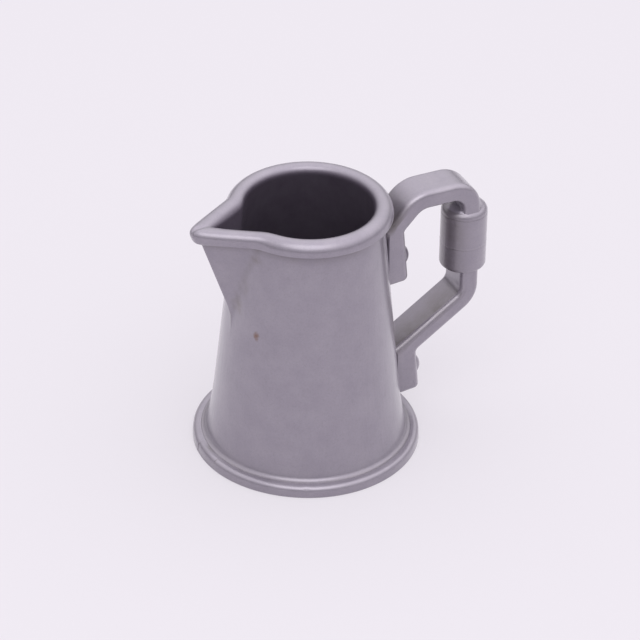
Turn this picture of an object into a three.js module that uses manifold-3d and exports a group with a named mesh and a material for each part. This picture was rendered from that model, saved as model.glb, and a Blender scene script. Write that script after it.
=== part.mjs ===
import * as THREE from 'three';
import { mergeVertices } from 'three/addons/utils/BufferGeometryUtils.js';
import Module from 'manifold-3d';

const wasm = await Module();
wasm.setup();

// A toy coffee pot: a tapered pot with a pinched pouring spout, and a strap handle with a round grip.
// Lengths are in millimetres and angles in degrees.
// The pot stands on z = 0 round the z axis, with its spout towards -x and its handle towards +x.

// Pot wall and rim
const potHeight = 23.79;
const wallGroundRadius = 8.6; // outside of the wall's cone, carried down to the ground
const wallTopRadius = 6.263; // outside of the wall's cone, carried up to the top of the rim
const wallThickness = 0.8;
const rimOverhang = 0.85; // how far the rim bead stands out from the wall
const rimHeight = 1.0;
const rimOuterRound = 0.46;
const rimInnerRound = 0.38;
const rimUnderRound = 0.16;

// Spout
const spoutReach = 10.71; // axis of the pot to the sharp ridge of the spout, at the top of the rim
const spoutDepth = 9.79; // top of the rim down to where the ridge leaves the wall
const spoutHalfAngle = 31.5; // between the spout's middle plane and each flank
const spoutWallThickness = 0.74;
const spoutOverhang = 0.98; // how far the rim bead stands out from the flanks
const spoutBlend = 0.36; // how far apart wall and flank are when they start to flow together
const ridgeRound = 0.07; // half width of the rounding on the wall's ridge
const lipRound = 0.82; // half width of the rounding at the tip of the rim

// Base
const baseHeight = 1.26; // ground to the top of the narrow upper step, where the wall stands
const stepWidth = 0.75; // how far the upper step stands out from the wall
const stepHeight = 0.29;
const stepRound = 0.14;
const footWidth = 0.72; // how far the lower step stands out from the upper one
const footEdgeRound = 0.3;
const groundRound = 0.1;
const plugHeight = 0.9; // how far the floor stands up inside the wall

// Handle strap
const strapWidth = 3.42;
const strapThickness = 1.7;
const strapEdgeRound = 0.5;
const archDrop = 0.8; // top of the rim down to the top of the strap
const upperArmAngle = 47; // above the horizontal
const lowerArmAngle = 34.5;
const upperFootThickness = 1.76; // wall to the outer face of the strap's foot
const lowerFootThickness = 2.02;
const upperFootDrop = 4.43; // top of the rim down to where the upper arm leaves its foot
const upperFootLength = 5.07;
const lowerFootRise = 1.37; // top of the base up to the bottom of the lower foot
const lowerFootLength = 4.04;
const footCornerRound = 0.52;
const footFillet = 0.5;
const shoulderBend = 1.5; // inside radius, upper arm to arch
const archBend = 1.05; // inside radius, arch to grip
const elbowBend = 1.0; // inside radius, grip to lower arm

// Grip sleeve
const gripStandoff = 6.36; // wall at the ground to the axis of the grip
const gripWall = 0.2; // least thickness, at the corners of the slot
const gripTopInset = 0.32; // end of the strap's straight run to the end of the sleeve
const gripBottomInset = 1.51;
const gripBottomRound = 0.28;
const gripTopRound = 0.16;

// Rivets
const upperRivetRise = 1.92; // bottom of the foot up to the rivet's axis
const lowerRivetRise = 1.76;
const rivetHeadDiameter = 2.1;
const rivetHeadHeight = 0.76;
const rivetShankDiameter = 1.1;
const rivetTailDiameter = 1.7;
const rivetTailHeight = 0.3;

// Clearance between pieces that seat on or pass through each other
const fitGap = 0.08;

// Facets
const fineStep = 1.0; // angle between facets at the spout's ridge
const coarseStep = 6; // angle between facets round the rest of the pot
const stepGrowth = 1.2; // how quickly the facets widen away from the ridge
const roundSegments = 3; // facets in a rounded edge
const latheSegments = 60;
const smallSegments = 28;
const flankRings = 6; // rings up the height of the spout

// Places that follow from the sizes
const wallTaper = (wallGroundRadius - wallTopRadius) / potHeight;
const wallLean = Math.atan(wallTaper);
const spoutRootHeight = potHeight - spoutDepth;
const archHeight = potHeight - archDrop;
const upperArmRoot = potHeight - upperFootDrop;
const upperFootBottom = upperArmRoot - upperFootLength;
const upperRivetHeight = upperFootBottom + upperRivetRise;
const lowerFootBottom = baseHeight + lowerFootRise;
const lowerArmRoot = lowerFootBottom + lowerFootLength;
const lowerRivetHeight = lowerFootBottom + lowerRivetRise;
const gripReach = wallGroundRadius + gripStandoff;
const gripInner = gripReach - strapThickness / 2; // faces of the strap inside the grip
const gripOuter = gripReach + strapThickness / 2;

// Outside radius of the wall's cone.
function wallRadius(height) {
  return wallGroundRadius - wallTaper * height;
}

// A point in the handle's middle plane, measured out from the wall, square to it, at a height.
function offWall(height, out) {
  return new THREE.Vector2(
    wallRadius(height) + out * Math.cos(wallLean),
    height + out * Math.sin(wallLean),
  );
}

// Solids and cuts

function toSolid(source) {
  const bare = source.clone();
  bare.deleteAttribute('normal');
  bare.deleteAttribute('uv');
  const merged = mergeVertices(bare, 1e-5);
  const corners = merged.index.array;
  const triVerts = [];
  for (let i = 0; i < corners.length; i += 3) {
    const [a, b, c] = corners.slice(i, i + 3);
    if (a !== b && b !== c && c !== a) {
      triVerts.push(a, b, c);
    }
  }
  const mesh = new wasm.Mesh({
    numProp: 3,
    vertProperties: new Float32Array(merged.attributes.position.array),
    triVerts: new Uint32Array(triVerts),
  });
  return new wasm.Manifold(mesh);
}

function toGeometry(solid) {
  const mesh = solid.getMesh();
  const geometry = new THREE.BufferGeometry();
  geometry.setAttribute('position', new THREE.BufferAttribute(mesh.vertProperties, 3));
  geometry.setIndex(new THREE.BufferAttribute(mesh.triVerts, 1));
  geometry.computeVertexNormals();
  return geometry;
}

function cut(geometry, cutters) {
  let solid = toSolid(geometry);
  for (const cutter of cutters) {
    solid = solid.subtract(toSolid(cutter));
  }
  return toGeometry(solid);
}

// Points of a quarter round from one direction to the next, for a profile.
function roundedEdge(centreX, centreY, radius, startAngle, endAngle) {
  const points = [];
  for (let i = 0; i <= roundSegments; i += 1) {
    const angle = THREE.MathUtils.degToRad(startAngle + ((endAngle - startAngle) * i) / roundSegments);
    points.push(new THREE.Vector2(centreX + radius * Math.cos(angle), centreY + radius * Math.sin(angle)));
  }
  return points;
}

// A solid turned about the z axis.
function turned(profile, segments) {
  const geometry = new THREE.LatheGeometry(profile, segments);
  geometry.rotateX(Math.PI / 2);
  return geometry;
}

// A closed outline with a round at each corner, from [x, y, radius] corners.
function roundedOutline(corners) {
  const shape = new THREE.Shape();
  corners.forEach(([x, y, radius], i) => {
    const corner = new THREE.Vector2(x, y);
    const [px, py] = corners[(i + corners.length - 1) % corners.length];
    const [nx, ny] = corners[(i + 1) % corners.length];
    const back = new THREE.Vector2(px, py).sub(corner).normalize();
    const ahead = new THREE.Vector2(nx, ny).sub(corner).normalize();
    const half = Math.acos(THREE.MathUtils.clamp(back.dot(ahead), -1, 1)) / 2;
    const setback = radius / Math.tan(half);
    const start = corner.clone().addScaledVector(back, setback);
    if (i === 0) {
      shape.moveTo(start.x, start.y);
    } else {
      shape.lineTo(start.x, start.y);
    }
    if (radius > 0) {
      const middle = back.clone().add(ahead).normalize();
      const centre = corner.clone().addScaledVector(middle, radius / Math.sin(half));
      const end = corner.clone().addScaledVector(ahead, setback);
      const from = start.clone().sub(centre).angle();
      const to = end.clone().sub(centre).angle();
      shape.absarc(centre.x, centre.y, radius, from, to, back.cross(ahead) > 0);
    }
  });
  shape.closePath();
  return shape;
}

// Pot shell

// Distance from the axis to the spout's sharp ridge, which runs straight from the wall to the rim.
function ridgeReach(height) {
  const rise = (height - spoutRootHeight) / (potHeight - spoutRootHeight);
  return THREE.MathUtils.lerp(wallRadius(spoutRootHeight), spoutReach, rise);
}

// Outline of the pot at a height, at an angle from the spout's direction: the round wall or the spout's
// straight flank, whichever lies further out, flowing together where they cross.
function outlineRadius(angle, height, offset, tipRound) {
  const round = wallRadius(height) + offset;
  const halfAngle = THREE.MathUtils.degToRad(spoutHalfAngle);
  const reach = ridgeReach(height);
  const flankShare = offset < 0 ? spoutWallThickness / wallThickness : spoutOverhang / rimOverhang;
  const turn = Math.cbrt(Math.abs(angle) ** 3 + (tipRound / reach) ** 3);
  const lean = Math.max(Math.PI / 2 - halfAngle - turn, 0);
  const flank = (reach * Math.sin(halfAngle) + offset * flankShare) / Math.cos(lean);
  const meeting = Math.max(spoutBlend - Math.abs(round - flank), 0);
  return Math.max(round, flank) + (meeting * meeting) / (4 * spoutBlend);
}

// Angles round the pot, close together at the spout's ridge and wider apart behind it.
function outlineAngles() {
  const half = [0];
  let step = fineStep;
  while (half.at(-1) < 180) {
    half.push(half.at(-1) + step);
    step = Math.min(step * stepGrowth, coarseStep);
  }
  const scale = Math.PI / half.at(-1);
  const side = half.map((angle) => angle * scale);
  const otherSide = side.slice(1, -1).map((angle) => -angle);
  return side.concat(otherSide.reverse());
}

// The wall's section as [offset from the wall's outside, height, rounding at the spout's tip]:
// up the outside, round the rim bead and down the inside.
function shellSection() {
  const rimBottom = potHeight - rimHeight;
  const heights = [baseHeight, spoutRootHeight - spoutBlend];
  for (let i = 1; i <= flankRings; i += 1) {
    heights.push(THREE.MathUtils.lerp(spoutRootHeight - spoutBlend, rimBottom, i / flankRings));
  }
  const bead = [
    ...roundedEdge(rimOverhang - rimUnderRound, rimBottom + rimUnderRound, rimUnderRound, -90, 0),
    ...roundedEdge(rimOverhang - rimOuterRound, potHeight - rimOuterRound, rimOuterRound, 0, 90),
    ...roundedEdge(rimInnerRound - wallThickness, potHeight - rimInnerRound, rimInnerRound, 90, 180),
  ];
  const beadTip = (offset) =>
    THREE.MathUtils.mapLinear(offset, -wallThickness, rimOverhang, ridgeRound, lipRound);
  return [
    ...heights.map((height) => [0, height, ridgeRound]),
    ...bead.map((point) => [point.x, point.y, beadTip(point.x)]),
    ...heights.map((height) => [-wallThickness, height, ridgeRound]).reverse(),
  ];
}

function potShellGeometry() {
  const section = shellSection();
  const angles = outlineAngles();
  const positions = [];
  const triangles = [];
  section.forEach(([offset, height, tipRound], i) => {
    const nextRing = ((i + 1) % section.length) * angles.length;
    angles.forEach((angle, j) => {
      const radius = outlineRadius(angle, height, offset, tipRound);
      positions.push(-radius * Math.cos(angle), -radius * Math.sin(angle), height);
      const nextSpoke = (j + 1) % angles.length;
      const a = i * angles.length + j;
      const b = i * angles.length + nextSpoke;
      const c = nextRing + nextSpoke;
      const d = nextRing + j;
      triangles.push(a, b, c, a, c, d);
    });
  });
  const geometry = new THREE.BufferGeometry();
  geometry.setAttribute('position', new THREE.Float32BufferAttribute(positions, 3));
  geometry.setIndex(triangles);
  return cut(geometry, [rivetHole(upperRivetHeight), rivetHole(lowerRivetHeight)]);
}

// Base plate: a stepped disc that plugs into the foot of the wall and makes the pot's floor.
function basePlateGeometry() {
  const floorHeight = baseHeight + plugHeight;
  const plugRadius = (height) => wallRadius(height) - wallThickness - fitGap;
  const stepRadius = wallRadius(baseHeight) + stepWidth;
  const footRadius = stepRadius + footWidth;
  const footEdgeHeight = baseHeight - stepHeight;
  const profile = [
    new THREE.Vector2(0, 0),
    ...roundedEdge(footRadius - groundRound, groundRound, groundRound, -90, 0),
    ...roundedEdge(footRadius - footEdgeRound, footEdgeHeight - footEdgeRound, footEdgeRound, 0, 90),
    new THREE.Vector2(stepRadius, footEdgeHeight),
    ...roundedEdge(stepRadius - stepRound, baseHeight - stepRound, stepRound, 0, 90),
    new THREE.Vector2(plugRadius(baseHeight), baseHeight),
    new THREE.Vector2(plugRadius(floorHeight), floorHeight),
    new THREE.Vector2(0, floorHeight),
  ];
  return turned(profile, latheSegments);
}

// Handle strap: its side outline, drawn from the wall out, extruded to the strap's width.

const upperRoot = offWall(upperArmRoot, upperFootThickness);
const lowerRoot = offWall(lowerArmRoot, lowerFootThickness);

// Height of an arm's underside or top in the strap's side view.
function armUnder(root, angle, x) {
  return root.y + (x - root.x) * Math.tan(THREE.MathUtils.degToRad(angle));
}

function armTop(root, angle, x) {
  return armUnder(root, angle, x) + strapThickness / Math.cos(THREE.MathUtils.degToRad(angle));
}

// Where an arm's underside or top reaches a height.
function armReach(startHeight, root, angle, height) {
  return root.x + (height - startHeight) / Math.tan(THREE.MathUtils.degToRad(angle));
}

function strapOutline() {
  const upperFoot = offWall(upperFootBottom, upperFootThickness);
  const lowerFoot = offWall(lowerFootBottom, lowerFootThickness);
  const upperFootInner = offWall(upperFootBottom, -wallThickness);
  const lowerFootInner = offWall(lowerFootBottom, -wallThickness);
  const archUnder = archHeight - strapThickness;
  const upperTopStart = armTop(upperRoot, upperArmAngle, upperRoot.x);
  const shoulderTop = armReach(upperTopStart, upperRoot, upperArmAngle, archHeight);
  const shoulderUnder = armReach(upperRoot.y, upperRoot, upperArmAngle, archUnder);
  return roundedOutline([
    [upperFootInner.x, upperFootInner.y, 0],
    [upperFoot.x, upperFoot.y, footCornerRound],
    [upperRoot.x, upperRoot.y, footFillet],
    [shoulderUnder, archUnder, shoulderBend],
    [gripInner, archUnder, archBend],
    [gripInner, armTop(lowerRoot, lowerArmAngle, gripInner), elbowBend],
    [lowerFootInner.x, armTop(lowerRoot, lowerArmAngle, lowerFootInner.x), 0],
    [lowerFootInner.x, lowerFootInner.y, 0],
    [lowerFoot.x, lowerFoot.y, footCornerRound],
    [lowerRoot.x, lowerRoot.y, footFillet],
    [gripOuter, armUnder(lowerRoot, lowerArmAngle, gripOuter), elbowBend + strapThickness],
    [gripOuter, archHeight, archBend + strapThickness],
    [shoulderTop, archHeight, shoulderBend + strapThickness],
    [upperFootInner.x, armTop(upperRoot, upperArmAngle, upperFootInner.x), 0],
  ]);
}

function handleStrapGeometry() {
  const geometry = new THREE.ExtrudeGeometry(strapOutline(), {
    depth: strapWidth - 2 * strapEdgeRound,
    curveSegments: 8,
    bevelThickness: strapEdgeRound,
    bevelSize: strapEdgeRound,
    bevelOffset: -strapEdgeRound,
    bevelSegments: roundSegments - 1,
  });
  geometry.translate(0, 0, strapEdgeRound - strapWidth / 2);
  geometry.rotateX(Math.PI / 2);
  const wall = new THREE.CylinderGeometry(
    wallTopRadius + fitGap,
    wallGroundRadius + fitGap,
    potHeight,
    latheSegments,
  );
  wall.rotateX(Math.PI / 2);
  wall.translate(0, 0, potHeight / 2);
  return cut(geometry, [wall, rivetHole(upperRivetHeight), rivetHole(lowerRivetHeight)]);
}

// Grip: a round sleeve with a flat slot along its axis, on the straight run between the strap's bends.
function gripSleeveGeometry() {
  const elbowTurn = THREE.MathUtils.degToRad(90 - lowerArmAngle);
  const elbowEnd = armTop(lowerRoot, lowerArmAngle, gripInner) + elbowBend * Math.tan(elbowTurn / 2);
  const bottom = elbowEnd + gripBottomInset;
  const top = archHeight - strapThickness - archBend - gripTopInset;
  const slotX = strapThickness / 2 + fitGap;
  const slotY = strapWidth / 2 + fitGap;
  const slotRound = strapEdgeRound + fitGap;
  const radius = Math.hypot(slotX - slotRound, slotY - slotRound) + slotRound + gripWall;
  const profile = [
    new THREE.Vector2(0, bottom),
    ...roundedEdge(radius - gripBottomRound, bottom + gripBottomRound, gripBottomRound, -90, 0),
    ...roundedEdge(radius - gripTopRound, top - gripTopRound, gripTopRound, 0, 90),
    new THREE.Vector2(0, top),
  ];
  const slotOutline = roundedOutline([
    [slotX, slotY, slotRound],
    [-slotX, slotY, slotRound],
    [-slotX, -slotY, slotRound],
    [slotX, -slotY, slotRound],
  ]);
  const slot = new THREE.ExtrudeGeometry(slotOutline, {
    depth: potHeight,
    curveSegments: 8,
    bevelEnabled: false,
  });
  return cut(turned(profile, smallSegments), [slot]);
}

// Rivets: a domed head on the strap's foot, a shank through foot and wall, and a low tail inside the pot.

// A shape made along the y axis, laid along the wall's normal at a height.
function squareToWall(geometry, height) {
  geometry.rotateZ(-Math.PI / 2);
  geometry.rotateY(-wallLean);
  geometry.translate(wallRadius(height), 0, height);
  return geometry;
}

function rivetHole(height) {
  const radius = rivetShankDiameter / 2 + fitGap;
  const length = 4 * (lowerFootThickness + wallThickness);
  return squareToWall(new THREE.CylinderGeometry(radius, radius, length, smallSegments), height);
}

function rivetGeometry(height, footThickness) {
  const headRadius = rivetHeadDiameter / 2;
  const tailRadius = rivetTailDiameter / 2;
  const shankRadius = rivetShankDiameter / 2;
  const insideRadius = wallRadius(height) - wallThickness;
  const insideCurve = insideRadius - Math.sqrt(insideRadius ** 2 - tailRadius ** 2);
  const seat = footThickness + fitGap;
  const tailSeat = -wallThickness - insideCurve - fitGap;
  const domeRadius = (headRadius ** 2 + rivetHeadHeight ** 2) / (2 * rivetHeadHeight);
  const domeAngle = THREE.MathUtils.radToDeg(Math.atan2(domeRadius - rivetHeadHeight, headRadius));
  const dome = roundedEdge(0, seat + rivetHeadHeight - domeRadius, domeRadius, domeAngle, 90);
  dome.at(-1).x = 0;
  const profile = [
    new THREE.Vector2(0, tailSeat - rivetTailHeight),
    new THREE.Vector2(tailRadius - rivetTailHeight, tailSeat - rivetTailHeight),
    new THREE.Vector2(tailRadius, tailSeat),
    new THREE.Vector2(shankRadius, tailSeat),
    new THREE.Vector2(shankRadius, seat),
    ...dome,
  ];
  return squareToWall(new THREE.LatheGeometry(profile, smallSegments), height);
}

// The assembly

const silverGrey = { roughness: 0.45, metalness: 0.2 };

function piece(name, geometry, color) {
  const mesh = new THREE.Mesh(geometry, new THREE.MeshStandardMaterial({ color, ...silverGrey }));
  mesh.name = name;
  return mesh;
}

const coffeePot = new THREE.Group();
coffeePot.add(piece('pot_shell', potShellGeometry(), '#918c95'));
coffeePot.add(piece('base_plate', basePlateGeometry(), '#938e97'));
coffeePot.add(piece('handle_strap', handleStrapGeometry(), '#938e97'));
coffeePot.add(piece('upper_rivet', rivetGeometry(upperRivetHeight, upperFootThickness), '#938e97'));
coffeePot.add(piece('lower_rivet', rivetGeometry(lowerRivetHeight, lowerFootThickness), '#938e97'));

const grip = piece('grip_sleeve', gripSleeveGeometry(), '#918c95');
grip.position.x = gripReach;
coffeePot.add(grip);

export default coffeePot;
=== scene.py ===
import math

import bpy
import numpy as np
from mathutils import Matrix, Vector


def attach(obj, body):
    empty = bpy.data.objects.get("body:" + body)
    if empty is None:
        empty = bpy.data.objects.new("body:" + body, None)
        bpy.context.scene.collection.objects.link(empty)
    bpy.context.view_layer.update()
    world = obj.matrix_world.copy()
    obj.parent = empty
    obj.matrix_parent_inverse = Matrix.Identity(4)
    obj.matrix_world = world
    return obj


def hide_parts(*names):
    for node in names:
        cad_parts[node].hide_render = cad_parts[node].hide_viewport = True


# Toy coffee pot in moulded silver grey plastic. Sizes are in mm, the scene is in metres.
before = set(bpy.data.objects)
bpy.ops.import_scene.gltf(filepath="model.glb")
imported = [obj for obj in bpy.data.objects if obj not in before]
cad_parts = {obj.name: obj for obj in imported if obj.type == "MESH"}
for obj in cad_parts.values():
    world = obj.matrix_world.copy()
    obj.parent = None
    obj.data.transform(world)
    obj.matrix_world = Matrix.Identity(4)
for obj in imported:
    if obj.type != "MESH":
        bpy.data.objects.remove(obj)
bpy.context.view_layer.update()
mm = 0.001
print("frame loaded:", sorted(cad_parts))


# Meshes from grids

def unit(vectors):
    return vectors / np.linalg.norm(vectors, axis=-1, keepdims=True)


def smooth(low, high, values):  # 0 below low, 1 above high, an S curve between
    share = np.clip((values - low) / (high - low), 0, 1)
    return share * share * (3 - 2 * share)


def bump(values, centre, width):  # a bell of height 1 round the centre
    return np.exp(-((values - centre) / width) ** 2)


def straightRun(start, end, count):  # start and end mixed by a share that is eased at both ends
    share = (1 - np.cos(np.pi * np.linspace(0, 1, count + 1)))[:, None] / 2
    return np.asarray(start) * (1 - share) + np.asarray(end) * share


def cornerArc(before, corner, after, radius, count):
    # The arc of that radius that touches both sides of a corner.
    before, corner, after = (np.asarray(point[:2], float) for point in (before, corner, after))
    back, ahead = unit(before - corner), unit(after - corner)
    half = math.acos(np.clip(back @ ahead, -1, 1)) / 2
    centre = corner + unit(back + ahead) * radius / math.sin(half)
    start = corner + back * radius / math.tan(half) - centre
    end = corner + ahead * radius / math.tan(half) - centre
    fromAngle = math.atan2(start[1], start[0])
    sweep = (math.atan2(end[1], end[0]) - fromAngle + math.pi) % (2 * math.pi) - math.pi
    angles = fromAngle + sweep * np.linspace(0, 1, count + 1)
    return centre + radius * np.stack([np.cos(angles), np.sin(angles)], 1)


def roundedPath(corners, arcSteps, lineSteps):
    # Straight runs joined by arcs, from (across, up, radius) corners. Each run has its own step count, or
    # all share one.
    counts = np.broadcast_to(lineSteps, len(corners) - 1).tolist()
    parts, last = [], np.asarray(corners[0][:2], float)
    for before, corner, after, count in zip(corners, corners[1:], corners[2:], counts):
        arc = cornerArc(before, corner, after, corner[2], arcSteps)
        parts += [straightRun(last, arc[0], count)[:-1], arc[:-1]]
        last = arc[-1]
    parts.append(straightRun(last, np.asarray(corners[-1][:2], float), counts[-1]))
    return np.concatenate(parts)


def spokes(count, crowding=1.0):  # angles round the axis, closer together near 0 where crowding is below 1
    share = np.linspace(-1, 1, count, endpoint=False)
    return np.pi * (crowding * share + (1 - crowding) * share ** 3)[None, :]


def gridPiece(name, points, material, replaced, wrapRows=False, caps=(), **marks):
    # Points are rows by columns by 3 in mm. Columns wrap round, each cap is (row, middle point), and the
    # marks become point attributes that the material reads.
    rows, columns = points.shape[:2]
    index = np.arange(rows * columns).reshape(rows, columns)
    below = index if wrapRows else index[:-1]
    above = np.roll(index, -1, 0) if wrapRows else index[1:]
    quads = np.stack([below, np.roll(below, -1, 1), np.roll(above, -1, 1), above], -1).reshape(-1, 4)
    places = points.reshape(-1, 3)
    marks = {key: np.clip(value + np.zeros((rows, columns)), 0, 1) for key, value in marks.items()}
    values = {key: value.ravel() for key, value in marks.items()}
    fans = []
    for row, middle in caps:
        ring = index[row]
        fan = np.stack([ring, np.roll(ring, -1), np.full(columns, len(places))], 1)
        fans.append(fan if row else fan[:, ::-1])
        places = np.concatenate([places, [middle]])
        values = {key: np.append(value, marks[key][row].mean()) for key, value in values.items()}
    triangles = np.concatenate([quads[:, :3], quads[:, [0, 2, 3]]] + fans)
    a, b, c = (places[triangles[:, k]] for k in range(3))
    outward = np.einsum("ij,ij->", a, np.cross(b, c)) > 0
    faces = [face if outward else face[:, ::-1] for face in [quads] + fans]
    mesh = bpy.data.meshes.new(name)
    mesh.from_pydata((places * mm).tolist(), [], sum((face.tolist() for face in faces), []))
    for key, value in values.items():
        layer = mesh.attributes.new(key, "FLOAT", "POINT")
        layer.data.foreach_set("value", value.astype(np.float32))
    mesh.polygons.foreach_set("use_smooth", np.ones(len(mesh.polygons), bool))
    mesh.materials.append(material)
    mesh.update()
    piece = bpy.data.objects.new(name, mesh)
    bpy.context.scene.collection.objects.link(piece)
    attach(piece, "root")
    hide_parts(replaced)
    print("made", name, "with", len(mesh.polygons), "faces")


# Materials

def hexColour(code):  # sRGB hex to linear
    channels = np.array([int(code[k:k + 2], 16) for k in (1, 3, 5)]) / 255
    linear = np.where(channels <= 0.04045, channels / 12.92, ((channels + 0.055) / 1.055) ** 2.4)
    return (*linear.tolist(), 1.0)


def addNode(tree, kind, inputs=None, **settings):
    node = tree.nodes.new(kind)
    for key, value in settings.items():
        setattr(node, key, value)
    for key, value in (inputs or {}).items():
        if isinstance(value, bpy.types.NodeSocket):
            tree.links.new(value, node.inputs[key])
        else:
            node.inputs[key].default_value = value
    return node


plastic = dict(
    pale="#938d97",  # the pigment where it lies thick
    deep="#8a848f",  # where it is drawn thin
    grime="#5b5452",  # painted shade in corners, creases, under the rim and the arch, with dirt in scar lines and rings
    worn="#a09aa3",  # edges rubbed bright, and painted highlight on rounded edges
    inside="#584d5e",  # painted shade inside the pot, darker and more violet than the outside
    cloudSize=2.2,  # mm, drift of the pigment in the melt
    flakeSize=0.11,  # mm, real flakes are about 0.03 and too fine to show
    flakeShare=0.05,
    flowSize=0.5,  # mm, lines left by the flow of the melt
    skinSize=0.16,  # mm, spark eroded skin of the mould
    skinDepth=0.004,
    roughness=0.36, roughnessDrift=0.03,
    metallic=0.55, ior=1.5, coatRoughness=0.2,
)


# ABS with silver flake pigment, injection moulded in a spark eroded mould: a satin grey with a faint
# violet cast, soft wide highlights on edges partly painted, slight clouds and flow lines, painted shade
# in the corners and inside, and dirt in the scar lines and rings.
def mouldedAbs(name, flow=(1, 1, 1), flowDepth=0.012, smudges=()):
    material = bpy.data.materials.new(name)
    material.use_nodes = True
    tree = material.node_tree
    tree.nodes.clear()
    place = addNode(tree, "ShaderNodeTexCoord").outputs["Object"]
    clouds = addNode(tree, "ShaderNodeTexNoise", {
        "Vector": place, "Scale": 1 / (plastic["cloudSize"] * mm), "Detail": 4.0, "Roughness": 0.62})
    cloudy = clouds.outputs["Fac"]
    tint = addNode(tree, "ShaderNodeValToRGB", {"Fac": cloudy})
    for stop, position, shade in zip(tint.color_ramp.elements, (0.32, 0.68), ("deep", "pale")):
        stop.position, stop.color = position, hexColour(plastic[shade])
    flakes = addNode(tree, "ShaderNodeTexVoronoi", {
        "Vector": place, "Scale": 1 / (plastic["flakeSize"] * mm)})
    grey = addNode(tree, "ShaderNodeHueSaturation", {
        "Saturation": 0.0, "Value": 1.0, "Color": flakes.outputs["Color"]})
    sparkle = addNode(tree, "ShaderNodeMix", {
        "Factor": plastic["flakeShare"], "A": tint.outputs["Color"], "B": grey.outputs["Color"],
    }, data_type="RGBA", blend_type="OVERLAY")
    colour = sparkle.outputs["Result"]
    # The marks come from the mesh: painted shade inside, wear with painted highlight, and painted shade with
    # dirt. The clouds make them patchy.
    for mark, least, most in (("inside", 0.0, 1.0), ("worn", 0.35, 0.6), ("grime", 0.3, 0.62)):
        amount = addNode(tree, "ShaderNodeAttribute", attribute_name=mark)
        patchy = addNode(tree, "ShaderNodeMapRange", {
            "Value": cloudy, "From Min": least, "From Max": most, "To Min": 0.45, "To Max": 1.0})
        share = addNode(tree, "ShaderNodeMath", {
            0: amount.outputs["Fac"], 1: patchy.outputs["Result"]}, operation="MULTIPLY", use_clamp=True)
        layer = addNode(tree, "ShaderNodeMix", {
            "Factor": share.outputs[0], "A": colour, "B": hexColour(plastic[mark])}, data_type="RGBA")
        colour = layer.outputs["Result"]
    # A smudge is an ellipsoid with a ragged edge.
    for smudge in smudges:
        stretch = addNode(tree, "ShaderNodeMapping", {
            "Vector": place, "Location": [value * mm for value in smudge["centre"]],
            "Scale": [value * mm for value in smudge["size"]]}, vector_type="TEXTURE")
        away = addNode(tree, "ShaderNodeVectorMath", {0: stretch.outputs["Vector"]}, operation="LENGTH")
        ragged = addNode(tree, "ShaderNodeTexNoise", {
            "Vector": place, "Scale": 1 / (smudge["grain"] * mm), "Detail": 3.0})
        edge = addNode(tree, "ShaderNodeMath", {
            0: ragged.outputs["Fac"], 1: 1.1, 2: away.outputs["Value"]}, operation="MULTIPLY_ADD")
        mask = addNode(tree, "ShaderNodeMapRange", {
            "Value": edge.outputs[0], "From Min": 1.5, "From Max": smudge["core"], "To Min": 0.0,
            "To Max": smudge["strength"]}, interpolation_type="SMOOTHSTEP")
        layer = addNode(tree, "ShaderNodeMix", {
            "Factor": mask.outputs["Result"], "A": colour, "B": hexColour(smudge["colour"])},
            data_type="RGBA")
        colour = layer.outputs["Result"]
    stretched = addNode(tree, "ShaderNodeMapping", {"Vector": place, "Scale": flow})
    lines = addNode(tree, "ShaderNodeTexNoise", {
        "Vector": stretched.outputs["Vector"], "Scale": 1 / (plastic["flowSize"] * mm), "Detail": 3.0})
    skin = addNode(tree, "ShaderNodeTexNoise", {
        "Vector": place, "Scale": 1 / (plastic["skinSize"] * mm), "Detail": 3.0, "Roughness": 0.6})
    flowBump = addNode(tree, "ShaderNodeBump", {
        "Strength": 1.0, "Distance": flowDepth * mm, "Height": lines.outputs["Fac"]})
    skinBump = addNode(tree, "ShaderNodeBump", {
        "Strength": 1.0, "Distance": plastic["skinDepth"] * mm, "Height": skin.outputs["Fac"],
        "Normal": flowBump.outputs["Normal"]})
    gloss = addNode(tree, "ShaderNodeMapRange", {
        "Value": cloudy, "From Min": 0.3, "From Max": 0.7,
        "To Min": plastic["roughness"] - plastic["roughnessDrift"],
        "To Max": plastic["roughness"] + plastic["roughnessDrift"]})
    shader = addNode(tree, "ShaderNodeBsdfPrincipled", {
        "Base Color": colour, "Metallic": plastic["metallic"], "Roughness": gloss.outputs["Result"],
        "IOR": plastic["ior"], "Coat Weight": 1.0, "Coat Roughness": plastic["coatRoughness"],
        "Normal": skinBump.outputs["Normal"]})
    addNode(tree, "ShaderNodeOutputMaterial", {"Surface": shader.outputs["BSDF"]})
    return material


# Pot shell

pot = dict(
    height=23.79, groundRadius=8.6, topRadius=6.263, wall=0.8, bottomRound=0.06,
    standing=1.0,  # height of the base's top, where the wall stands
    flare=0.3, flareTop=6.0, coveRound=0.38,  # the wall swings out towards its foot
    rimOverhang=0.85, rimFillet=0.07,
    rimCrown=0.1,  # the bead is fully round on top, a little higher than the flat solid
    rimBead=dict(height=1.25, outerRound=0.84, innerRound=0.78, underRound=0.16),
    noseBead=dict(height=1.46, outerRound=0.82, innerRound=0.6, underRound=0.36),  # a ball at the tip
    noseSpread=0.085,
    spoutReach=10.71, spoutDepth=9.79, spoutHalfAngle=31.5, spoutWall=0.84, spoutOverhang=0.87,
    spoutBlend=0.36, ridgeRound=0.07, lipRound=0.69,
    channelDepth=0.13, channelWidth=0.2,  # the pouring channel that runs out over the lip
    # painted shade at the wall's foot, under the rim's bead and along the spout's crease
    footShade=0.3, rimShade=0.8, creaseShade=0.3,
    arcSteps=14,
    lineSteps=(0, 28, 6, 6, 10, 28, 8),  # cove, wall, bead's underside, its side, top, inside and bottom
    spokeCount=520, crowding=0.22,
)
taper = (pot["groundRadius"] - pot["topRadius"]) / pot["height"]
lean = math.atan(taper)
spoutRoot = pot["height"] - pot["spoutDepth"]
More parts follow.
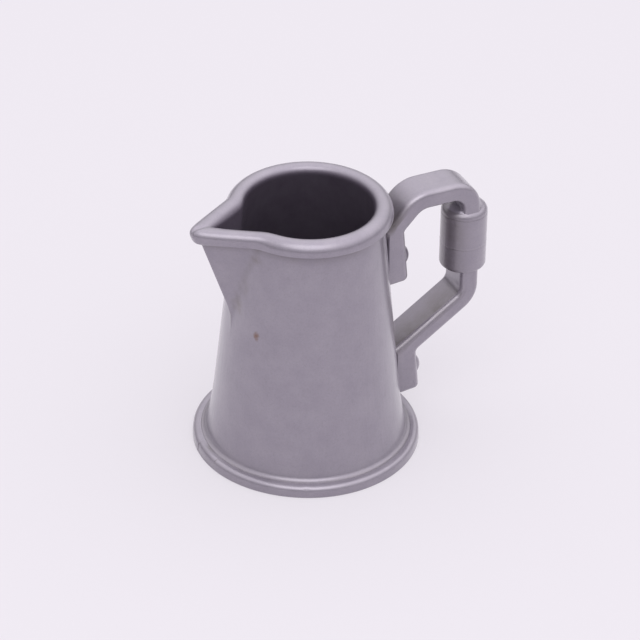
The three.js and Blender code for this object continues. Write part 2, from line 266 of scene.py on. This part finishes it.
rimTop = pot["height"] + pot["rimCrown"]
rimBottom = rimTop - pot["rimBead"]["height"]


def wallRadius(height):
    return pot["groundRadius"] - taper * height


def offWall(height, out):  # a point measured out from the wall, square to it, in the handle's plane
    return np.array([wallRadius(height) + out * math.cos(lean), height + out * math.sin(lean)])


def potOutline(angle, height, offset, tipRound):
    # Radius at an angle from the spout: the round wall or the straight flank, whichever is further out,
    # with a parabola where they cross. The second result is how near that crossing is.
    half = math.radians(pot["spoutHalfAngle"])
    rise = (height - spoutRoot) / pot["spoutDepth"]
    reach = wallRadius(spoutRoot) * (1 - rise) + pot["spoutReach"] * rise
    inward, outward = pot["spoutWall"] / pot["wall"], pot["spoutOverhang"] / pot["rimOverhang"]
    flankOffset = offset * np.where(offset < 0, inward, outward)
    turn = np.cbrt(np.abs(angle) ** 3 + (tipRound / reach) ** 3)
    lead = np.maximum(np.pi / 2 - half - turn, 0)
    flank = (reach * math.sin(half) + flankOffset) / np.cos(lead)
    roundWall = wallRadius(height) + offset
    blend = pot["spoutBlend"]
    meeting = np.maximum(blend - np.abs(roundWall - flank), 0)
    return np.maximum(roundWall, flank) + meeting ** 2 / (4 * blend), meeting / blend


def makePotShell():
    # A section of (offset from the wall, height) carried round the axis on the pot's outline. It is mixed
    # with the nose's section by a bell round the spout's tip, and the outside flares by the square of the
    # drop below flareTop.
    wall, over, foot, top = pot["wall"], pot["rimOverhang"], pot["standing"], rimTop
    ridge, lip = pot["ridgeRound"], pot["lipRound"]

    def section(bead):  # up the outside, over the bead and down the inside
        under = top - bead["height"]
        path = roundedPath([
            (pot["coveRound"], foot, 0), (0, foot, pot["coveRound"]), (0, under, pot["rimFillet"]),
            (over, under, bead["underRound"]), (over, top, bead["outerRound"]),
            (-wall, top, bead["innerRound"]), (-wall, foot, pot["bottomRound"]),
            (pot["coveRound"], foot, 0)], pot["arcSteps"], pot["lineSteps"])[:-1]
        return path[:, :1], path[:, 1:]

    offset, height = section(pot["rimBead"])
    noseOffset, noseHeight = section(pot["noseBead"])
    onBead = smooth(rimBottom - 0.01, rimBottom + 0.02, height) * smooth(-wall - 0.01, -wall + 0.03, offset)
    underBead = (np.abs(height - rimBottom) < 0.1) * smooth(0, over - 0.2, offset)
    onBead = np.maximum(onBead, underBead)
    tipRound = ridge + (lip - ridge) * onBead * (offset + wall) / (over + wall)
    angle = spokes(pot["spokeCount"], pot["crowding"])
    atNose = bump(angle, 0, pot["noseSpread"])
    offset, height = offset + (noseOffset - offset) * atNose, height + (noseHeight - height) * atNose
    radius, crease = potOutline(angle, height, offset, tipRound)
    outside = offset > -0.01
    drop = np.clip((pot["flareTop"] - height) / (pot["flareTop"] - foot), 0, 1)
    radius = radius + outside * pot["flare"] * drop ** 2
    x, y = -radius * np.cos(angle), -radius * np.sin(angle)
    channel = bump(y, 0, pot["channelWidth"]) * (x < 0)
    channel = channel * smooth(top - 0.75, top - 0.1, height) * smooth(-wall, 0.1, offset)
    z = height - pot["channelDepth"] * channel
    # Painted shade at the wall's foot, under the bead and along the spout's crease; wear and painted
    # highlight on the bead's edges; painted shade down the inside.
    grime = pot["footShade"] * bump(height, foot, 0.12) * outside
    grime = grime + pot["rimShade"] * bump(height, rimBottom, 0.6) * (np.abs(offset) < 0.02)
    grime = grime + pot["creaseShade"] * crease * outside * (height < rimBottom)
    worn = bump(offset, over - 0.1, 0.13) * bump(height, top - 0.1, 0.16)
    worn = worn + bump(height, top, 0.04) * (offset < -0.4)
    inside = smooth(-0.2, -0.7, offset) * smooth(top - 0.05, top - 0.4, height)
    shell = mouldedAbs("silverGreyAbsPotWall", (1, 1, 0.12), 0.02, potMarks())
    gridPiece("potShell", np.stack([x, y, z], -1), shell, "pot_shell", True,
              grime=grime, worn=worn, inside=inside)


def onPot(degrees, height):  # a point on the outside of the wall
    angle = math.radians(degrees)
    place = (np.array(value) for value in (angle, height, 0.0, pot["ridgeRound"]))
    radius = float(potOutline(*place)[0])
    return (-radius * math.cos(angle), -radius * math.sin(angle), height)


def potMarks():  # a brown speck on the wall, and darker smudges below the rim and down the spout's crease
    return (
        dict(centre=onPot(27.3, 13.9), size=(0.42, 0.42, 0.62), grain=0.25, core=0.6, strength=0.85,
             colour="#6e4a35"),
        dict(centre=onPot(22.0, 20.96), size=(0.85, 0.85, 0.7), grain=0.5, core=0.2, strength=0.46,
             colour="#6f665f"),
        dict(centre=onPot(13.5, 17.8), size=(0.7, 0.7, 1.6), grain=0.6, core=0.2, strength=0.3,
             colour="#6f665f"),
        dict(centre=onPot(7.5, 15.8), size=(0.9, 0.9, 1.3), grain=0.5, core=0.2, strength=0.55,
             colour="#70665c"),
    )


# Base plate

base = dict(
    footRadius=9.946, draft=0.056, edgeRound=0.44, groundRound=0.08, plugHeight=1.16,
    middle=0.05,  # radius of the smallest ring, which a fan closes
    scarFrom=-7.0, scarTo=11.0, scarDepth=0.05,  # degrees from the spout, where the runner was cut off
    scarLineDepth=0.035, nickAt=65.0, nickDepth=0.05,
    waveDepth=0.012,  # the edge isn't quite round
    spokeCount=520, crowding=0.35,
)


def makeBasePlate():
    # A profile of (radius, height) turned about the axis, cut back a little at the scar and nicked in front.
    footRadius, footTop, middle = base["footRadius"], pot["standing"], base["middle"]
    wallHere = wallRadius(footTop) + pot["flare"]
    coveEnd = wallHere + pot["coveRound"]
    floor = footTop + base["plugHeight"]
    plug = [wallRadius(height) - pot["wall"] for height in (footTop, floor)]
    path = roundedPath([
        (middle, 0, 0), (footRadius, 0, base["groundRound"]),
        (footRadius - base["draft"], footTop, base["edgeRound"]),
        (plug[0], footTop, 0.04), (plug[1], floor, 0.06), (middle, floor, 0)], 7, 10)
    reach, height = path[:, :1], path[:, 1:]
    angle = spokes(base["spokeCount"], base["crowding"])
    degrees = np.degrees(angle)
    scar = smooth(base["scarFrom"] - 0.4, base["scarFrom"] + 0.4, degrees)
    scar = scar * (1 - smooth(base["scarTo"] - 0.4, base["scarTo"] + 0.4, degrees))
    onTop = smooth(coveEnd, footRadius, reach)
    outer = onTop * smooth(0.0, 0.15, height)
    line = bump(degrees, base["scarFrom"], 0.35) + bump(degrees, base["scarTo"], 0.35)
    nick = bump(degrees, base["nickAt"], 1.1) * smooth(footRadius - 0.4, footRadius - 0.1, reach)
    nick = base["nickDepth"] * nick * smooth(footTop - 0.6, footTop - 0.2, height)
    wave = base["waveDepth"] * np.sin(5 * angle + 0.8) * onTop
    radius = reach - base["scarDepth"] * scar * outer - nick + wave
    z = height - base["scarLineDepth"] * line * outer * smooth(0.3, footTop, height) - nick
    x, y = -radius * np.cos(angle), -radius * np.sin(angle)
    # Painted shade in the cove at the wall's foot and dirt in the scar's lines; wear and painted highlight
    # on the foot's edge; painted shade on the plug's top inside the pot.
    inCove = bump(degrees, 1.0, 4.0) * bump(reach, wallHere + 0.3, 0.4) * (height > 0.9)
    grime = 0.55 * line * outer + 0.9 * inCove
    worn = 0.5 * bump(reach, footRadius - 0.17, 0.16) * bump(height, footTop - 0.07, 0.14)
    inside = (reach < plug[0] + 0.02) * smooth(footTop, footTop + 0.1, height)
    ends = [(0, (0, 0, 0)), (len(path) - 1, (0, 0, floor))]
    gridPiece("basePlate", np.stack([x, y, z], -1), mouldedAbs("silverGreyAbsBase"), "base_plate", False,
              ends, grime=grime, worn=worn, inside=inside)


# Handle strap

strap = dict(
    width=3.42, thickness=1.7, edgeRound=0.5, archDrop=0.8, gripReach=14.96,
    upperAngle=47, upperRoot=19.36, upperFoot=1.76, upperFootBottom=14.29,
    lowerAngle=34.5, lowerRoot=6.67, lowerFoot=2.02, lowerFootBottom=2.63,
    footCorner=0.52, footFillet=0.5,
    bends=(1.5, 1.05, 1.0),  # inside radius of the shoulder, the arch and the elbow
    steps=dict(root=8, corner=7, foot=20, arm=14, bend=18),
)


def strapRails():
    # The strap's two edges in the handle's plane, from the wall over the arch to the wall again. Both have
    # the same stations: foot, arm, shoulder, arch, bend, grip, elbow, arm, foot.
    thick, archTop, steps = strap["thickness"], pot["height"] - strap["archDrop"], strap["steps"]
    archUnder = archTop - thick
    gripIn, gripOut = strap["gripReach"] - thick / 2, strap["gripReach"] + thick / 2
    up, low = math.radians(strap["upperAngle"]), math.radians(strap["lowerAngle"])
    upAcross, lowAcross = (thick * np.array([-math.sin(arm), math.cos(arm)]) for arm in (up, low))
    upperRoot = offWall(strap["upperRoot"], strap["upperFoot"])
    lowerRoot = offWall(strap["lowerRoot"], strap["lowerFoot"])
    upperTop, lowerTop = upperRoot + upAcross, lowerRoot + lowAcross

    def atWall(point, angle):  # where a line through the point at the angle meets the wall
        run = (wallRadius(point[1]) - point[0]) / (math.cos(angle) + taper * math.sin(angle))
        return point + run * np.array([math.cos(angle), math.sin(angle)])

    def alongUpper(point, height):  # where the upper arm's line through the point gets to that height
        return (point[0] + (height - point[1]) / math.tan(up), height)

    def alongLower(point, across):  # where the lower arm's line through the point gets that far out
        return (across, point[1] + (across - point[0]) * math.tan(low))

    def rounded(rail, k, radius, count):  # the arc in corner k of a rail
        return cornerArc(rail[k - 1], rail[k], rail[k + 1], radius, count)

    inner = [
        offWall(strap["upperFootBottom"], 0), offWall(strap["upperFootBottom"], strap["upperFoot"]),
        upperRoot, alongUpper(upperRoot, archUnder), (gripIn, archUnder), alongLower(lowerTop, gripIn),
        atWall(lowerTop, low)]
    outer = [
        atWall(upperTop, up), alongUpper(upperTop, archTop), (gripOut, archTop),
        alongLower(lowerRoot, gripOut), lowerRoot, offWall(strap["lowerFootBottom"], strap["lowerFoot"]),
        offWall(strap["lowerFootBottom"], 0)]
    upCorner = rounded(inner, 1, strap["footCorner"], steps["corner"])
    upFillet = rounded(inner, 2, strap["footFillet"], steps["corner"])
    lowFillet = rounded(outer, 4, strap["footFillet"], steps["corner"])
    lowCorner = rounded(outer, 5, strap["footCorner"], steps["corner"])
    bends = [(rounded(inner, 3 + k, radius, steps["bend"]),
              rounded(outer, 1 + k, radius + thick, steps["bend"]))
             for k, radius in enumerate(strap["bends"])]
    upEnd, lowEnd = upFillet[-1] + upAcross, lowFillet[0] + lowAcross
    wholeFoot = steps["root"] + 2 * steps["corner"] + steps["foot"]
    innerParts = [straightRun(inner[0], upCorner[0], steps["root"]), upCorner,
                  straightRun(upCorner[-1], upFillet[0], steps["foot"]), upFillet]
    outerParts = [straightRun(outer[0], upEnd, wholeFoot)]
    stops = [(upFillet[-1], upEnd)]
    for innerBend, outerBend in bends:
        stops += [(innerBend[0], outerBend[0]), (innerBend[-1], outerBend[-1])]
    stops.append((lowEnd, lowFillet[0]))
    for rail, parts in enumerate((innerParts, outerParts)):
        for k in range(4):
            parts.append(straightRun(stops[2 * k][rail], stops[2 * k + 1][rail], steps["arm"]))
            parts += [bend[rail] for bend in bends[k:k + 1]]
    innerParts.append(straightRun(lowEnd, inner[-1], wholeFoot))
    outerParts += [lowFillet, straightRun(lowFillet[-1], lowCorner[0], steps["foot"]), lowCorner,
                   straightRun(lowCorner[-1], outer[-1], steps["root"])]
    rails = (innerParts, outerParts)
    return [np.concatenate(parts[:1] + [part[1:] for part in parts[1:]]) for parts in rails]


def makeHandleStrap():
    # A rounded rectangle between the two edges at each station, its ends on the wall's cone.
    inner, outer = strapRails()
    half, edge = strap["width"] / 2, strap["edgeRound"]

    def into(rail, way):  # directions from an edge into the strap
        return way * unit(np.stack([-np.gradient(rail[:, 1]), np.gradient(rail[:, 0])], 1))

    # Section points run along the outer face, a corner, the side, a corner, the inner face and back. Each
    # has its share of the way from outer to inner edge, its inset at both, and its place across the strap.
    flat, side = np.linspace(-1, 1, 15), np.linspace(0, 1, 13)
    quarter = np.linspace(0, np.pi / 2, 8)[1:-1]
    noFlat, noTurn, full = 0 * flat, 0 * quarter, edge + 0 * side
    turnIn, turnOut = edge * (1 - np.cos(quarter)), edge * (1 - np.sin(quarter))
    share = np.concatenate([noFlat, noTurn, side, 1 + noTurn, 1 + noFlat, 1 + noTurn, side[::-1], noTurn])
    insetOuter = np.concatenate([noFlat, turnIn, full, noTurn, noFlat, noTurn, full, turnOut])
    insetInner = np.concatenate([noFlat, noTurn, full, turnOut, noFlat, turnIn, full, noTurn])
    across = np.concatenate([(half - edge) * flat, half - edge + edge * np.sin(quarter), half + 0 * side,
                             half - edge + edge * np.cos(quarter)])
    across = np.concatenate([across, -across])
    fromOuter = outer[:, None] + into(outer, -1)[:, None] * insetOuter[None, :, None]
    fromInner = inner[:, None] + into(inner, 1)[:, None] * insetInner[None, :, None]
    plane = fromOuter * (1 - share[None, :, None]) + fromInner * share[None, :, None]
    x, z, y = plane[..., 0], plane[..., 1], np.broadcast_to(across, plane.shape[:2])
    # Near the wall the strap bends round it, and no point goes into it.
    seat = wallRadius(z)
    clear = x - seat
    onCone = np.sqrt(seat ** 2 - y ** 2)
    x = np.maximum(x - np.clip(1 - clear / 1.3, 0, 1) ** 2 * (seat - onCone), onCone)
    onEdge = np.abs(across) > half - edge
    # Wear and painted highlight on the rounded edges; painted shade on the lower arm's top under the arch,
    # darker towards the near side, at the arch's root by the rim, and where the strap meets the wall.
    worn = bump(np.minimum(insetOuter + insetInner, edge) / edge, 0.3, 0.25) * onEdge
    nearness = 0.5 - across / strap["width"]
    armTop = (share > 0.98) * smooth(12.6, 11.4, z) * smooth(6.0, 7.0, z)
    archRoot = bump(clear, 0.2, 1.5) * smooth(19.0, 20.5, z) * (share < 0.02)
    grime = 0.12 * bump(clear, 0, 0.3) + archRoot
    grime = grime + armTop * (0.15 + 0.75 * nearness) * np.where(onEdge, 0.3, 1)
    middles = [(strap["upperFootBottom"] + outer[0, 1]) / 2, (strap["lowerFootBottom"] + inner[-1, 1]) / 2]
    ends = [(row, (wallRadius(height), 0, height)) for row, height in zip((0, len(inner) - 1), middles)]
    band = mouldedAbs("silverGreyAbsStrap", (0.12, 1.6, 0.12), 0.03)
    gridPiece("handleStrap", np.stack([x, y, z], -1), band, "handle_strap", False, ends,
              grime=grime, worn=worn, inside=0)


# Grip sleeve

grip = dict(
    bottom=13.82, top=19.92, radius=2.04, bottomRound=0.38, topRound=0.65,
    topRise=0.25,  # the top is a shallow dome
    slotGap=-0.03,
    rings=((19.25, 0.036, 0.07), (18.67, 0.008, 0.06), (17.51, 0.006, 0.06), (16.23, 0.026, 0.06),
           (15.47, 0.006, 0.06), (14.9, 0.008, 0.06)),  # height, depth and half width of the turned rings
    seam=16.23, ridgeHeight=0.02,  # the main ring, with a thin ridge above it
    wallSteps=150, spokeCount=168,
)


def makeGripSleeve():
    # A ringed profile turned about the grip's axis, blended into the strap's flat slot at both ends.
    angle = spokes(grip["spokeCount"])
    slot = [strap[key] / 2 + grip["slotGap"] for key in ("thickness", "width")]
    slotRadius = (np.abs(np.cos(angle)) / slot[0]) ** 5 + (np.abs(np.sin(angle)) / slot[1]) ** 5
    slotRadius = 1 / slotRadius ** 0.2
    full, bottom, top = grip["radius"], grip["bottom"], grip["top"]
    outside = roundedPath([(full - 1, bottom, 0), (full, bottom, grip["bottomRound"]),
                           (full, top, grip["topRound"]), (full - 1, top, 0)], 8, grip["wallSteps"])
    keep = outside[:, 0] > full - 0.5
    reach, height = outside[keep, :1], outside[keep, 1:]
    ringCut = sum(depth * bump(height, level, width) for level, depth, width in grip["rings"])
    ridge = grip["ridgeHeight"] * bump(height, grip["seam"] + 0.11, 0.06)
    radius = reach - ringCut + ridge + 0 * angle
    steps = np.linspace(0, 1, 9)[1:, None]
    down = np.linspace(top, bottom, 24)[1:, None]
    topRing = radius[-1:] * (1 - steps) + slotRadius * steps
    bottomRing = (slotRadius * (1 - steps) + radius[:1] * steps)[:-1]
    radius = np.concatenate([radius, topRing, slotRadius + 0 * down, bottomRing])
    z = np.concatenate([height, top + grip["topRise"] * steps, down, bottom + 0 * steps[:-1]]) + 0 * angle
    x, y = strap["gripReach"] + radius * np.cos(angle), radius * np.sin(angle)
    onSide = radius > full - 0.1
    # Dirt in the turned rings; painted shadow on the top beside the strap, under the arch; painted
    # reflection of the pot, as shade, on the side facing it; wear and painted highlight on the seam's ridge.
    cuts = sum(bump(z, level, 0.06) * depth / 0.05 for level, depth, width in grip["rings"]) * onSide
    onTop = smooth(top - 0.1, top - 0.02, z) * smooth(-0.2, 0.5, np.sin(angle)) * (radius < full - 0.1)
    towardsPot = bump(np.cos(angle), -0.9, 0.5) * (radius > full - 0.4)
    grime = 0.25 * cuts + onTop + 0.6 * towardsPot
    worn = 0.6 * bump(z, grip["seam"] + 0.12, 0.05) * onSide
    sleeve = mouldedAbs("silverGreyAbsGrip", (0.3, 0.3, 2.2))
    gridPiece("gripSleeve", np.stack([x, y, z], -1), sleeve, "grip_sleeve", True,
              grime=grime, worn=worn, inside=0)


# Rivets

rivet = dict(
    heights=dict(upper=16.21, lower=4.39), headDiameter=2.1, headHeight=0.76, shankDiameter=1.1,
    tailDiameter=1.7, tailHeight=0.3, middle=0.03, domeSteps=24, spokeCount=64,
)


def makeRivet(side, material):
    # A domed head, shank and tail turned about the wall's normal.
    height, seat = rivet["heights"][side], strap[side + "Foot"] + 0.01
    head, shank, tail = (rivet[key] / 2 for key in ("headDiameter", "shankDiameter", "tailDiameter"))
    crown = seat + rivet["headHeight"]
    insideRadius = wallRadius(height) - pot["wall"]
    tailSeat = -pot["wall"] - (insideRadius - math.sqrt(insideRadius ** 2 - tail ** 2))
    tailEnd = tailSeat - rivet["tailHeight"]
    domeRadius = (head ** 2 + rivet["headHeight"] ** 2) / (2 * rivet["headHeight"])
    start = math.atan2(domeRadius - rivet["headHeight"], head)
    sweep = np.linspace(start, np.pi / 2 - 0.03, rivet["domeSteps"])
    dome = np.stack([domeRadius * np.cos(sweep), crown - domeRadius + domeRadius * np.sin(sweep)], 1)
    below = roundedPath([
        (rivet["middle"], tailEnd, 0), (tail - 0.2, tailEnd, 0.1), (tail, tailSeat, 0.05),
        (shank, tailSeat, 0.03), (shank, seat, 0.03), (head - 0.02, seat, 0)], 5, 6)
    path = np.concatenate([below, dome])
    angle = spokes(rivet["spokeCount"])
    across, up, out = path[:, :1] * np.cos(angle), path[:, :1] * np.sin(angle), path[:, 1:] + 0 * angle
    x = wallRadius(height) + out * math.cos(lean) - up * math.sin(lean)
    z = height + out * math.sin(lean) + up * math.cos(lean)

    def onAxis(depth):  # a point on the rivet's axis
        return (wallRadius(height) + depth * math.cos(lean), 0, height + depth * math.sin(lean))

    ends = [(0, onAxis(tailEnd)), (len(path) - 1, onAxis(crown))]
    # Painted shade where the head meets the strap, wear and painted highlight on the dome, painted shade on
    # the tail inside the pot.
    gridPiece(side + "Rivet", np.stack([x, across, z], -1), material, side + "_rivet", False, ends,
              grime=0.1 * bump(out, seat, 0.12), worn=0.4 * smooth(seat + 0.4, seat + 0.7, out),
              inside=out < 0)


makePotShell()
makeBasePlate()
makeHandleStrap()
makeGripSleeve()
rivetAbs = mouldedAbs("silverGreyAbsRivets")
for side in rivet["heights"]:
    makeRivet(side, rivetAbs)


# Stage, light and camera

stage = dict(floorSize=3.0, floorColour="#e2dee4", shadowShare=0.35)


def makeStage():
    # Pale card that shows its own colour to the camera and keeps a share of the shadow.
    reach, colour = stage["floorSize"] / 2, hexColour(stage["floorColour"])
    corners = [(-reach, -reach, 0), (reach, -reach, 0), (reach, reach, 0), (-reach, reach, 0)]
    mesh = bpy.data.meshes.new("paperFloor")
    mesh.from_pydata(corners, [], [(0, 1, 2, 3)])
    floor = bpy.data.objects.new("paperFloor", mesh)
    bpy.context.scene.collection.objects.link(floor)
    card = bpy.data.materials.new("matPaleCard")
    card.use_nodes = True
    tree = card.node_tree
    tree.nodes.clear()
    path = addNode(tree, "ShaderNodeLightPath")
    matt = addNode(tree, "ShaderNodeBsdfDiffuse", {"Color": colour})
    plain = addNode(tree, "ShaderNodeEmission", {"Color": colour, "Strength": 1.0})
    seen = addNode(tree, "ShaderNodeMath", {
        0: path.outputs["Is Camera Ray"], 1: path.outputs["Is Glossy Ray"]}, operation="MAXIMUM")
    amount = addNode(tree, "ShaderNodeMath", {
        0: seen.outputs[0], 1: 1 - stage["shadowShare"]}, operation="MULTIPLY")
    mixed = addNode(tree, "ShaderNodeMixShader", {
        0: amount.outputs[0], 1: matt.outputs[0], 2: plain.outputs[0]})
    addNode(tree, "ShaderNodeOutputMaterial", {"Surface": mixed.outputs[0]})
    mesh.materials.append(card)


studio = dict(
    skyColour="#f4f1f6",
    sideLevel=0.9, sideTilt=0.22,  # the handle's side of the room is lighter
    sky=((0.0, 0.1), (0.12, 0.4), (0.3, 0.95), (0.55, 1.4), (0.8, 1.85),
         (1.0, 1.95)),  # brightness by the sine of the height angle
    lamps=(
        dict(name="overhead", place=(-0.09, -0.18, 0.34), aim=(0, 0, 0.012), size=0.34, watts=0.35),
    ),
)


def makeLight():
    # A soft tent that is brightest overhead. The curve holds half the brightness, as it ends at 1.
    scene = bpy.context.scene
    scene.world = bpy.data.worlds.new("tent")
    scene.world.use_nodes = True
    tree = scene.world.node_tree
    tree.nodes.clear()
    path = addNode(tree, "ShaderNodeLightPath")
    facing = addNode(tree, "ShaderNodeSeparateXYZ", {
        0: addNode(tree, "ShaderNodeTexCoord").outputs["Generated"]})
    graded = addNode(tree, "ShaderNodeFloatCurve", {"Value": facing.outputs["Z"]})
    points = graded.mapping.curves[0].points
    while len(points) < len(studio["sky"]):
        points.new(0.5, 0.5)
    for point, (rise, level) in zip(points, studio["sky"]):
        point.location = (rise, level / 2)
    graded.mapping.update()
    sideways = addNode(tree, "ShaderNodeMath", {
        0: facing.outputs["X"], 1: 2 * studio["sideTilt"], 2: 2 * studio["sideLevel"]},
        operation="MULTIPLY_ADD")
    strength = addNode(tree, "ShaderNodeMath", {
        0: graded.outputs["Value"], 1: sideways.outputs[0]}, operation="MULTIPLY")
    soft = addNode(tree, "ShaderNodeBackground", {
        "Color": hexColour(studio["skyColour"]), "Strength": strength.outputs[0]})
    seen = addNode(tree, "ShaderNodeBackground", {"Color": hexColour(stage["floorColour"]), "Strength": 1.0})
    mixed = addNode(tree, "ShaderNodeMixShader", {
        0: path.outputs["Is Camera Ray"], 1: soft.outputs[0], 2: seen.outputs[0]})
    addNode(tree, "ShaderNodeOutputWorld", {"Surface": mixed.outputs[0]})
    for lamp in studio["lamps"]:
        data = bpy.data.lights.new(lamp["name"], "AREA")
        data.shape, data.size, data.energy = "DISK", lamp["size"], lamp["watts"]
        light = bpy.data.objects.new(lamp["name"], data)
        scene.collection.objects.link(light)
        light.location = lamp["place"]
        light.rotation_mode = "QUATERNION"
        light.rotation_quaternion = (Vector(lamp["aim"]) - Vector(lamp["place"])).to_track_quat("-Z", "Y")
        light.visible_camera = False
    scene.view_settings.view_transform = "Standard"


lens = dict(
    azimuth=-26.2, elevation=33.5, roll=1.072, focal=225.0, sensor=36.0,
    distance=345.7, aimRight=1.087, aimHeight=11.835,
)


def makeCamera():
    # Turned round the pot's axis, raised, and rolled a little about its own line of sight.
    around, raised, roll = (math.radians(lens[key]) for key in ("azimuth", "elevation", "roll"))
    level = Vector((math.cos(around), math.sin(around), 0))
    forward = Vector((-math.sin(around), math.cos(around), 0))
    back = Vector((0, 0, math.sin(raised))) - forward * math.cos(raised)
    upright = back.cross(level)
    right = level * math.cos(roll) + upright * math.sin(roll)
    above = upright * math.cos(roll) - level * math.sin(roll)
    eye = (level * lens["aimRight"] + Vector((0, 0, lens["aimHeight"])) + back * lens["distance"]) * mm
    data = bpy.data.cameras.new("photoView")
    data.lens, data.sensor_width = lens["focal"], lens["sensor"]
    data.clip_start, data.clip_end = 0.01, 20.0
    camera = bpy.data.objects.new("photoView", data)
    bpy.context.scene.collection.objects.link(camera)
    camera.matrix_world = Matrix.Translation(eye) @ Matrix((right, above, back)).transposed().to_4x4()
    bpy.context.scene.camera = camera


makeStage()
makeLight()
makeCamera()
print("stage, light and camera set")
